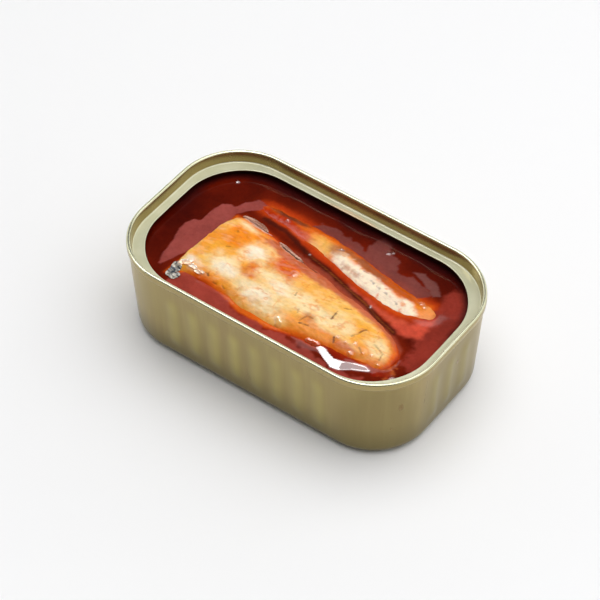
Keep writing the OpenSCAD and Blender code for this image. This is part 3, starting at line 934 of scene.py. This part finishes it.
def paint_back(fish):
    """Colours the slimmer fish: its pale strip, the dark skin at its end, its nicks and its oil."""
    x, y, z = plan(fish)
    colours = flesh_colours(back_level(x, y), x, y, 111)
    colours = lay_patches(colours, x, y, BACK_PATCHES, 1, 171)
    cream = area_mask(x, y, BACK_CREAM, 1.1, 0.7, 2.8, 121) * ease(mottle(x, y, 1.8, 131, 3), -0.2, 0.3)
    colours = lay(colours, 0.95 * cream, (1.0, 0.85, 0.64))
    smudge = line_mask(x, y, BACK_SMUDGE, 1.6, 0.8, 0.7, 1.2, 141)
    colours = lay(colours, 0.7 * smudge, (0.50, 0.20, 0.11))
    end = area_mask(x, y, BACK_END_PATCH, 0.6, 0.5, 1.4, 151)
    colours = lay(colours, 0.7 * end, (0.24, 0.12, 0.09))
    nicks = strongest(line_mask(x, y, path, 0.6, 0.25, 0.25, 0.8, 170 + k)
                      for k, path in enumerate(BACK_NICKS))
    colours = lay(colours, 0.6 * nicks, (0.22, 0.17, 0.16))
    oil = bead_mask(x, y, BACK_BEADS)
    z += 0.4 * oil - 0.15 * nicks
    wet = 0.65 * (1 - 0.75 * cream)
    store_paint(fish, (x, y, z), colours, wet, ease(oil, 0.1, 0.5))


def make_fish_front(material):
    """The large fish, with its cut end set at a slant."""
    fish = make_fish("front_flank", FRONT_STATIONS, 0.66)
    points = get_points(fish)
    across = (points[:, 1] / MM - CUT_START) / CUT_WIDTH
    near_cut = ease(-points[:, 0] / MM, 16, 31)
    points[:, 0] += near_cut * across * CUT_SLANT
    set_points(fish, points)
    soften(fish, [(9 * MM, 1.3 * MM), (3 * MM, 0.5 * MM), (1.2 * MM, 0.15 * MM)])
    paint_front(fish)
    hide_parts("fish_front")
    return finish_piece(fish, "root", material)


def make_fish_back(material):
    """The slimmer fish, nearly all under the sauce."""
    fish = make_fish("back_flank", BACK_STATIONS, 0.95)
    soften(fish, [(7 * MM, 0.8 * MM), (2.5 * MM, 0.25 * MM), (1.0 * MM, 0.08 * MM)])
    paint_back(fish)
    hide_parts("fish_back")
    return finish_piece(fish, "root", material)


# ---- Loose skin ----
SKIN_SHEET = 0.14 * MM
SKIN_CLEAR = 0.16

# Flakes of skin, in millimetres: centre x, y, length, width, turn in degrees, lift of the edges
PALE_FLAKES = [(-30.5, -16.5, 3, 1.7, 35, 0.5), (-28, -17, 3, 1.3, 10, 0.6), (-26, -17.5, 2.5, 1.0, -10, 0.4),
               (-32, -17.5, 2, 1.4, 70, 0.5), (-29.5, -15.5, 2, 0.8, 50, 0.4), (-24.5, -17, 1.5, 0.7, 5, 0.3)]
SILVER_FLAKES = [(-32.5, -20.5, 5.5, 2.7, 65, 0.5), (-31, -22, 3.5, 2.0, 45, 0.4),
                 (-33.5, -18.5, 3, 1.8, 80, 0.3)]
FLAP_FLAKES = [(-8.5, 5, 11.5, 1.1, -17, 0.5), (-24.5, 9, 10, 2.2, -7, 0.2)]


def make_flakes(name, flakes, under, material, seed):
    """Thin curled flakes of skin laid on the flesh below them."""
    pieces = []
    tree = BVHTree.FromObject(under, bpy.context.evaluated_depsgraph_get())
    rng = np.random.default_rng(seed)
    for x, y, length, width, turn, lift in flakes:
        start_clean()
        bpy.ops.mesh.primitive_grid_add(x_subdivisions=24, y_subdivisions=10, size=1)
        flake = bpy.context.object
        u, v = (get_points(flake)[:, :2] * 2).T
        wave = grain(u * 3 + x, v * 2 + y, 1.0, seed) - 0.5
        taper = np.sqrt(np.clip(1 - np.abs(u) ** 2.6, 0.02, 1)) * (1 + 0.35 * wave)
        px, py = u * length / 2, v * width / 2 * taper + 0.12 * width * np.sin(u * 2.4 + rng.random() * 6)
        c, s = math.cos(math.radians(turn)), math.sin(math.radians(turn))
        gx, gy = x + px * c - py * s, y + px * s + py * c
        level = np.array([surface_level(tree, a, b) for a, b in zip(gx, gy)])
        gz = level + SKIN_CLEAR + lift * (0.35 * v ** 2 + 0.15 * wave) + 0.1 * lift * v
        set_points(flake, np.stack([gx, gy, gz], axis=1) * MM)
        pieces.append(flake)
    select_only(*pieces)
    bpy.ops.object.join()
    skin = bpy.context.object
    skin.name = name
    bpy.ops.object.transform_apply(location=True, rotation=True, scale=True)
    apply_modifier(skin, "SOLIDIFY", thickness=SKIN_SHEET, offset=1)
    return finish_piece(skin, "root", material)


def surface_level(tree, x, y):
    """The height of the flesh at a plan point, in millimetres, or just over the sauce beside it."""
    hit = tree.ray_cast(Vector((x * MM, y * MM, SAUCE_Z + 6 * MM)), Vector((0, 0, -1)))[0]
    least = SAUCE_Z / MM + 0.1
    return least if hit is None else max(hit.z / MM, least)


def skin_finish(name, dark, pale, stretch):
    """Sardine skin: a pearly sheen over blotches that run along the flake."""
    material, tree, shader = new_material(name)
    place = object_place(tree)
    blot = noise(tree, placed(tree, place, scale=(stretch, 1, 1), turn=0.4), 900, 4.0, 0.6)
    fine = noise(tree, place, 2600, 3.0, 0.6)
    tone = mix(tree, span(tree, blot, 0.38, 0.62), dark, pale)
    feed(tree, shader.inputs["Base Color"], tone)
    feed(tree, shader.inputs["Roughness"], span(tree, fine, 0.3, 0.7, 0.14, 0.34))
    set_values(shader, {"Metallic": 0.15, "IOR": 1.5})
    feed(tree, shader.inputs["Normal"], bump(tree, fine, 0.05 * MM, 0.4))
    return material


# ---- Sauce ----
SAUCE_GRID = 0.36 * MM
LIP_CLIMB = 0.14
STREAK_SLOPE = 0.37
FAR_OFF = 99.0
LOOK_ABOVE = 5 * MM
LOOK_AROUND = 8 * MM


def edge_reach(x, y):
    """How far a plan point lies from the sauce's outer edge."""
    radius = SEAM_R / MM - (HALF_L - INNER_X) / MM
    qx, qy = np.abs(x) - (INNER_X / MM - radius), np.abs(y) - (INNER_Y / MM - radius)
    return radius - np.hypot(np.maximum(qx, 0), np.maximum(qy, 0)) - np.minimum(np.maximum(qx, qy), 0)


def measure_fish(x, y, fishes):
    """At each plan point, how deep the nearest flesh lies under the sauce, and how far it is."""
    trees = [BVHTree.FromObject(f, bpy.context.evaluated_depsgraph_get()) for f in fishes]
    cover, lip = np.full(len(x), FAR_OFF), np.full(len(x), FAR_OFF)
    down = Vector((0, 0, -1))
    for i in range(len(x)):
        level = Vector((x[i] * MM, y[i] * MM, SAUCE_Z))
        for tree in trees:
            hit = tree.ray_cast(level + Vector((0, 0, LOOK_ABOVE)), down)[0]
            if hit is not None:
                cover[i] = min(cover[i], (SAUCE_Z - hit.z) / MM)
            near = tree.find_nearest(level, LOOK_AROUND)[0]
            if near is not None:
                lip[i] = min(lip[i], (near - level).length / MM)
    return cover, lip


def wave_height(x, y):
    """Low swells left in thick sauce, in millimetres."""
    swell = 0.10 * np.sin(x / 5.3 + 0.9 * np.sin(y / 6.1)) + 0.08 * np.sin(y / 4.1 + x / 9.7)
    return swell + 0.035 * np.sin(x / 2.3 - y / 2.9 + 1.2)


def sauce_colours(x, y, cover, lip):
    """Dark red where deep, orange where thin over flesh, with paler mauve veils that are painted reflections,
    a dark band under the far ledge that is painted shade and reflection, painted shade in the crease and a
    painted highlight along it.
    """
    body = mottle(x, y, 14, 201)
    colours = ramp(body, [(0.2, (0.058, 0.0024, 0.0006)), (0.8, (0.120, 0.0065, 0.001))])
    thin = np.exp(-np.maximum(cover, 0) / 0.9)
    glow = np.exp(-np.maximum(lip, 0) / 2.2)
    colours = lay(colours, 0.45 * glow, (0.42, 0.030, 0.003))
    colours = lay(colours, 0.9 * thin, (0.50, 0.048, 0.005))
    cut_end = ease(x - 0.1 * y + 32.4, -0.8, 0.6)
    for level, part, seed in ((front_level(x, y), cut_end, 11), (back_level(x, y), 1, 111)):
        flesh = flesh_colours(np.minimum(level, 0.5) - 0.1, x, y, seed)
        colours = lay(colours, 0.9 * part * ease(level, -0.5, 0.25), flesh)
    colours = lay(colours, 0.8 * blob_mask(x, y, TAIL_BITS, 0.4, 0.8, 1.6, 381), (0.62, 0.13, 0.03))
    # Lays the patches of colour; the veils among them are painted reflections.
    for outline, soft, ragged, colour, amount, seed in TINTS_AND_REFLECTIONS:
        mask = area_mask(x, y, outline, soft, ragged, 3.0, seed) * (0.8 + 0.2 * mottle(x, y, 4, seed + 5))
        colours = lay(colours, amount * mask, colour)
    # Painted shade and painted reflection: a dark band along the sauce under the far ledge, where the ledge
    # shades the sauce and its dark underside shows in it.
    ledge_shade = ease(6.5 - edge_reach(x, y) + 1.2 * (mottle(x, y, 6, 231) - 0.5), 0, 3.0)
    far_side = ease(y + 0.35 * np.abs(x), 14, 24)
    colours = lay(colours, 0.85 * ledge_shade * far_side, (0.045, 0.006, 0.006))
    # Painted shade: the crease between the two fish is painted nearly black.
    crease = line_mask(x, y, CREASE, 1.7, 0.6, 0.3, 2.0, 391)
    colours = lay(colours, 0.85 * crease, (0.045, 0.006, 0.003))
    # Painted highlight: a thin orange line along the right half of the crease.
    crease_highlight = line_mask(x, y, CREASE, 0.35, 0.25, 0.15, 2.0, 392) * ease(x, -8, 4)
    colours = lay(colours, 0.6 * crease_highlight, (0.36, 0.085, 0.014))
    return colours


TAIL_BITS = [(39.5, -15.5, 2.2, 2.6), (38.5, -18, 1.6, 1.0)]
BACK_NEAR_GLOW = [(-22, 13), (-11, 11), (-4, 8.5), (4.5, 6.5), (13.5, 4), (20, 2.5), (27, 0),
                  (33, 0), (36, 4), (34, 8), (20, 9), (8, 12), (-2, 15), (-12, 19), (-22, 19.5), (-28, 17.5)]
BACK_PINK = [(-16.5, 14), (-12.5, 15), (-7.5, 14), (-8.5, 12), (-13, 12.5)]
FRONT_FAR_FILM = [(-18, 7), (-8, 6.5), (4.5, 5.5), (13.5, 3), (20, 1.5), (27, -1), (33, -3), (39, -7),
                  (40, -12), (34, -9), (20, -4), (10, -2), (-4, 1)]
TAIL_DEEP = [(19, -17.5), (28, -18), (37, -16.5), (41, -15), (42.5, -17.5), (38, -19.5), (33.5, -17.5),
             (29, -20.5), (26, -21.5), (22.5, -20), (19.5, -18)]
END_GLOW = [(33, 2), (36.5, 4.5), (38.5, 9), (41, 7), (41, 0), (37, -2), (31, -0.5)]
SIDE_GLOW = [(12, 5), (20, 3.5), (30, 2.5), (34, 2.5), (31, 0), (22, 1.5), (13.5, 4)]
# Patches of colour on the sauce: outline, softness, raggedness, colour, amount and seed. The five veils among
# them are painted reflections; the rest are tints of the sauce.
TINTS_AND_REFLECTIONS = [
    (BACK_NEAR_GLOW, 0.8, 0.7, (0.48, 0.036, 0.005), 0.45, 351),
    (BACK_PINK, 0.6, 0.6, (0.72, 0.12, 0.055), 0.8, 361),
    (FRONT_FAR_FILM, 0.8, 0.6, (0.28, 0.055, 0.030), 0.9, 371),
    (LEFT_VEIL, 0.22, 0.35, (0.34, 0.070, 0.058), 1.0, 301),
    (FAR_VEIL, 0.45, 0.9, (0.21, 0.055, 0.046), 0.95, 311),
    (SMALL_VEIL, 0.35, 0.5, (0.22, 0.075, 0.065), 0.95, 321),
    (RIGHT_VEIL, 1.2, 1.6, (0.30, 0.036, 0.022), 0.95, 331),
    (NEAR_VEIL, 0.6, 1.2, (0.38, 0.058, 0.040), 0.85, 341),
    (TAIL_DEEP, 0.7, 0.5, (0.27, 0.011, 0.002), 0.95, 401),
    (END_GLOW, 1.4, 1.0, (0.66, 0.085, 0.045), 0.95, 411),
    (SIDE_GLOW, 0.9, 0.6, (0.62, 0.092, 0.045), 0.95, 421),
]


def make_sauce(material, fishes):
    """The sauce, level but for low waves and the lip where it climbs the fish."""
    depth, under = 3 * MM, 0.25 * MM
    gap = 0.03 * MM + under
    sauce = outline_plate("tomato_sauce", INNER_X - gap, INNER_Y - gap,
                          SEAM_R - (HALF_L - INNER_X) - gap, SAUCE_Z - depth)
    bpy.ops.mesh.extrude_region_move(TRANSFORM_OT_translate={"value": (0, 0, depth)})
    bpy.ops.transform.resize(value=(1 + under / INNER_X, 1 + under / INNER_Y, 1),
                             center_override=(0, 0, 0))
    bpy.ops.object.mode_set(mode="OBJECT")
    apply_modifier(sauce, "REMESH", mode="VOXEL", voxel_size=SAUCE_GRID)
    x, y, z = plan(sauce)
    top = z > SAUCE_Z / MM - 0.3
    cover, lip = np.full(len(x), FAR_OFF), np.full(len(x), FAR_OFF)
    cover[top], lip[top] = measure_fish(x[top], y[top], fishes)
    climb = LIP_CLIMB * np.exp(-lip)
    slope, oil = streak_swell(x, y)
    beads = bead_mask(x, y, SAUCE_BEADS)
    slope, oil = slope + 0.3 * beads, np.maximum(oil, ease(beads, 0.1, 0.5))
    z = np.where(top, SAUCE_Z / MM + climb + slope + wave_height(x, y) * (1 - oil), z)
    colours = sauce_colours(x, y, cover, lip)
    set_points(sauce, np.stack([x, y, z], axis=1) * MM)
    store_colours(sauce, "paint", colours)
    store_values(sauce, "oil", oil * top)
    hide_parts("sauce")
    return finish_piece(sauce, "root", material)


# Beads of oil on the sauce: centre x, y and radius
SAUCE_BEADS = [(-40, 20.5, 0.8), (14, 22.5, 1.0), (15, 23.5, 0.8), (42.5, -17, 1.3), (22, 2, 0.5),
               (-4.5, 8.5, 0.5)]
# The swell of oily sauce along the near side: x, y of its middle line and half width
STREAK = [(13.5, -18.5, 0.5), (16, -18.5, 1.0), (19, -19, 1.2), (22.5, -21, 1.2), (26, -22.5, 1.4),
          (28.5, -22, 1.4), (31.5, -20, 1.0), (34, -19, 0.8), (36, -18.5, 0.3)]


def streak_swell(x, y):
    """A slope facing the near side along the streak, and where its oil lies."""
    xs, ys, halves = np.array(STREAK).T
    middle, half = np.interp(x, xs, ys), np.interp(x, xs, halves)
    ends = ease(x, xs[0] - 2, xs[0] + 1) * ease(xs[-1] + 2 - x, 0, 3)
    rise = np.clip(y - middle + half, 0, 2 * half)
    fall = 1 - ease(y - middle - half, 3.5, 10)
    inside = ease(half - np.abs(y - middle), -0.25, 0.15) * (x > xs[0]) * (x < xs[-1])
    return STREAK_SLOPE * rise * fall * ends, inside


# ---- Floor, light and camera ----
FLOOR_SIZE = 6


def make_floor():
    """A wide sheet of white paper under the tin."""
    start_clean()
    bpy.ops.mesh.primitive_plane_add(size=FLOOR_SIZE, location=(0, 0, 0))
    floor = bpy.context.object
    floor.name = "floor"
    material, tree, shader = new_material("floor_paper")
    place = object_place(tree)
    tone = mix(tree, noise(tree, place, 4, 2.0), (0.86, 0.86, 0.87), (0.88, 0.88, 0.88))
    feed(tree, shader.inputs["Base Color"], tone)
    set_values(shader, {"Roughness": 0.6})
    floor.data.materials.append(material)


LIGHT_TARGET = Vector((0, 0, 20)) * MM


def make_light(name, place, size, power):
    """A flat lamp that faces the tin, its place and size in metres and its power in watts."""
    data = bpy.data.lights.new(name, "AREA")
    data.shape = "RECTANGLE"
    data.size, data.size_y = size
    data.energy = power
    light = bpy.data.objects.new(name, data)
    light.location = place
    light.rotation_euler = (LIGHT_TARGET - Vector(place)).to_track_quat("-Z", "Y").to_euler()
    bpy.context.scene.collection.objects.link(light)
    return light


def light_scene():
    """A dim room, lit by a wide box overhead, with a narrow one that shows only as a glint."""
    world = bpy.data.worlds.new("studio")
    bpy.context.scene.world = world
    world.use_nodes = True
    tree = world.node_tree
    look = add(tree, "TexCoord").outputs["Generated"]
    axes = add(tree, "SeparateXYZ", {0: look})
    up = axes.outputs["Z"]
    front_dot = add(tree, "VectorMath", {0: look, 1: (0.3, -0.95, 0)}, operation="DOT_PRODUCT")
    toward = front_dot.outputs["Value"]
    sides = span(tree, toward, -0.1, 0.9, 1.7, 0.28)
    low = mix_value(tree, span(tree, up, 0.25, 0.6), sides, 0.05)
    level = mix_value(tree, span(tree, up, 0.80, 0.95), low, 0.9)
    feed(tree, tree.nodes["Background"].inputs["Color"], combine(tree, level))
    glint = make_light("glint_box", place=(-0.33, -0.03, 0.74), size=(0.22, 0.84), power=4.2)
    glint.visible_diffuse = False
    make_light("ceiling_box", place=(0.22, 0.16, 1.0), size=(1.5, 1.5), power=11.7)
    scene = bpy.context.scene
    scene.view_settings.view_transform = "Standard"
    scene.view_settings.look = "None"


CAMERA_AZIMUTH = 36.2
CAMERA_ELEVATION = 46.9
CAMERA_DISTANCE = 0.7714
CAMERA_LENS = 157.0
CAMERA_TARGET = Vector((-2.3, 0.7, 15.0)) * MM


def make_camera():
    """A long lens aimed at the tin from its azimuth, its elevation and its distance in metres."""
    a, e = math.radians(CAMERA_AZIMUTH), math.radians(CAMERA_ELEVATION)
    back = Vector((math.sin(a) * math.cos(e), -math.cos(a) * math.cos(e), math.sin(e)))
    data = bpy.data.cameras.new("camera")
    data.lens = CAMERA_LENS
    data.sensor_width = 36
    camera = bpy.data.objects.new("camera", data)
    camera.location = CAMERA_TARGET + back * CAMERA_DISTANCE
    camera.rotation_euler = (-back).to_track_quat("-Z", "Y").to_euler()
    bpy.context.scene.collection.objects.link(camera)
    bpy.context.scene.camera = camera


make_camera()
light_scene()
make_floor()
make_body(gold_lacquer())
make_ring(pale_lacquer())
front = make_fish_front(fish_finish("front_flesh", FIBRE_TURN))
back = make_fish_back(fish_finish("back_flesh", FIBRE_TURN))
make_sauce(sauce_finish(), [front, back])
pearly = skin_finish("pearly_skin", (0.80, 0.46, 0.26), (1.0, 0.93, 0.82), 0.5)
make_flakes("pale_skin", PALE_FLAKES, front, pearly, 401)
silver = skin_finish("silver_skin", (0.035, 0.045, 0.06), (0.62, 0.56, 0.47), 0.6)
make_flakes("silver_skin", SILVER_FLAKES, front, silver, 411)
brownish = skin_finish("edge_skin", (0.30, 0.12, 0.07), (0.62, 0.36, 0.26), 0.2)
make_flakes("edge_skin", FLAP_FLAKES, front, brownish, 421)
